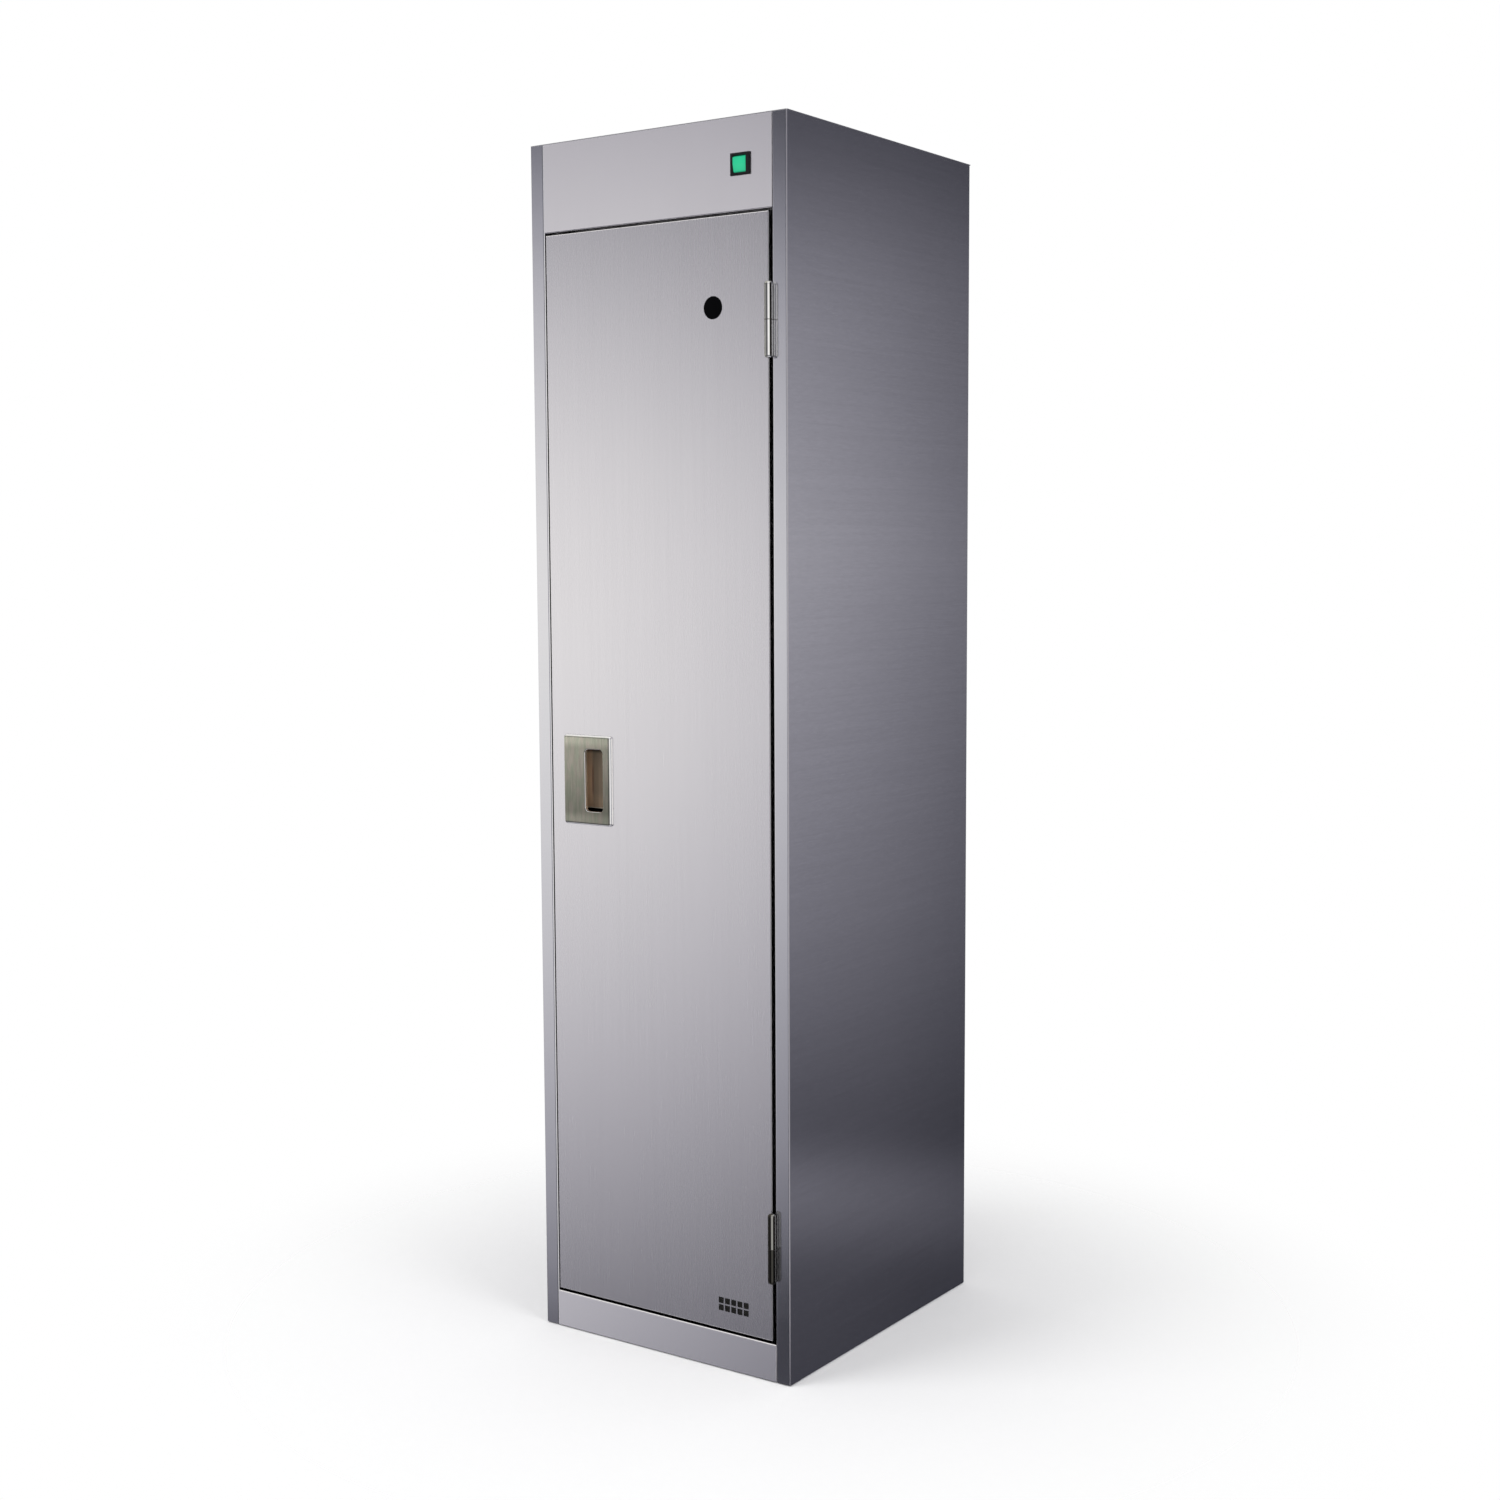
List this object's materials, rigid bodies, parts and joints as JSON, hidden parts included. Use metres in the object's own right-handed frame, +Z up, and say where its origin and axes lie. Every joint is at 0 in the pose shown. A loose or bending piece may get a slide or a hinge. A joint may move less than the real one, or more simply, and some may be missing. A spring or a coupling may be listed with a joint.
{
  "type": "sterilizing locker",
  "caption": "Tall narrow stainless locker with a hinged door, recessed pull and rocker switch, which sterilizes hung clothing with a germicidal lamp and an exhaust fan.",
  "frame": {"origin": "on the floor, under the middle of the carcass", "axes": "+Z up, the door faces -Y, +X to the right of someone facing the door"},
  "size_m": [0.455, 0.5303, 1.79],
  "materials": {
    "black_plastic": "fine matt",
    "contact_brass": "plain",
    "fan_casting": "black-painted casting",
    "fan_plastic": "moulded",
    "filter_foam": "open foam",
    "green_lens": "gloss, lit from behind",
    "grey_paint": "enamel",
    "grey_plastic": "moulded",
    "guard_wire": "bright wire",
    "lamp_cap_metal": "satin",
    "pad_rubber": "matt",
    "polished_steel": "polished",
    "pull_steel": "satin",
    "quartz_glass": "clear",
    "seal_rubber": "matt",
    "smoked_lens": "gloss, nearly black",
    "stainless": "vertical brushed grain",
    "white_plastic": "moulded",
    "zinc_steel": "zinc plated"
  },
  "bodies": {
    "cabinet": {"left_side_panel": "stainless", "right_side_panel": "stainless", "back_panel": "stainless", "back_panel_screws": "zinc_steel", "top_panel": "stainless", "header_panel": "stainless", "kick_plate": "stainless", "floor_panel": "stainless", "ceiling_panel": "stainless", "base_corner_plates": "zinc_steel", "foot_pads": "pad_rubber", "door_seal": "seal_rubber", "magnet_catch_upper": "white_plastic", "magnet_catch_lower": "white_plastic", "hinge_upper_frame_leaf": "polished_steel", "hinge_upper_pin": "polished_steel", "hinge_upper_washer": "polished_steel", "hinge_lower_frame_leaf": "polished_steel", "hinge_lower_pin": "polished_steel", "hinge_lower_washer": "polished_steel", "switch_bezel": "black_plastic", "switch_terminals": "contact_brass", "power_inlet": "black_plastic", "inlet_pins": "contact_brass", "fan_frame": "fan_casting", "fan_guard": "guard_wire", "fan_screws": "zinc_steel", "lamp_base": "grey_paint", "lamp_holders": "white_plastic", "lamp_tube": "quartz_glass", "lamp_caps": "lamp_cap_metal", "lamp_guard": "guard_wire", "hanger_rail": "polished_steel", "rail_sockets": "polished_steel", "lower_shelf": "stainless", "shelf_clips": "zinc_steel", "interlock_switch": "black_plastic", "ballast": "grey_paint", "terminal_block": "white_plastic", "timer_module": "grey_plastic", "supply_lead": "black_plastic", "switch_lead": "black_plastic", "fan_lead": "black_plastic", "lamp_lead": "black_plastic", "interlock_lead": "black_plastic"},
    "door": {"door_skin": "stainless", "door_inner_panel": "stainless", "door_stiffener": "zinc_steel", "sight_window": "smoked_lens", "window_sleeve": "black_plastic", "vent_filter": "filter_foam", "handle_plate": "pull_steel", "handle_cup": "pull_steel", "handle_nuts": "zinc_steel", "catch_strikes": "zinc_steel", "hinge_upper_door_leaf": "polished_steel", "hinge_lower_door_leaf": "polished_steel"},
    "rocker": {"switch_rocker": "green_lens"},
    "plunger": {"interlock_plunger": "white_plastic"},
    "fan": {"fan_rotor": "fan_plastic"}
  },
  "joints": [
    {"name": "door_swing", "type": "hinge", "parent": "cabinet", "child": "door", "pos_m": [0.2005, -0.2638, 0.855], "axis": [0, 0, 1], "range_deg": [0, 180]},
    {"name": "rocker_tilt", "type": "hinge", "parent": "cabinet", "child": "rocker", "pos_m": [0.1507, -0.254, 1.7247], "axis": [-1, 0, 0], "range_deg": [0, 12]},
    {"name": "plunger_slide", "type": "slide", "parent": "cabinet", "child": "plunger", "axis": [0, -1, 0], "range_m": [0, 0.003]},
    {"name": "fan_spin", "type": "hinge", "parent": "cabinet", "child": "fan", "pos_m": [0, 0.04, 1.68], "axis": [0, 0, 1], "continuous": true}
  ],
  "couplings": [
    {"joint": "plunger_slide", "follows": "door_swing", "m_per_rad": 0.00095}
  ]
}
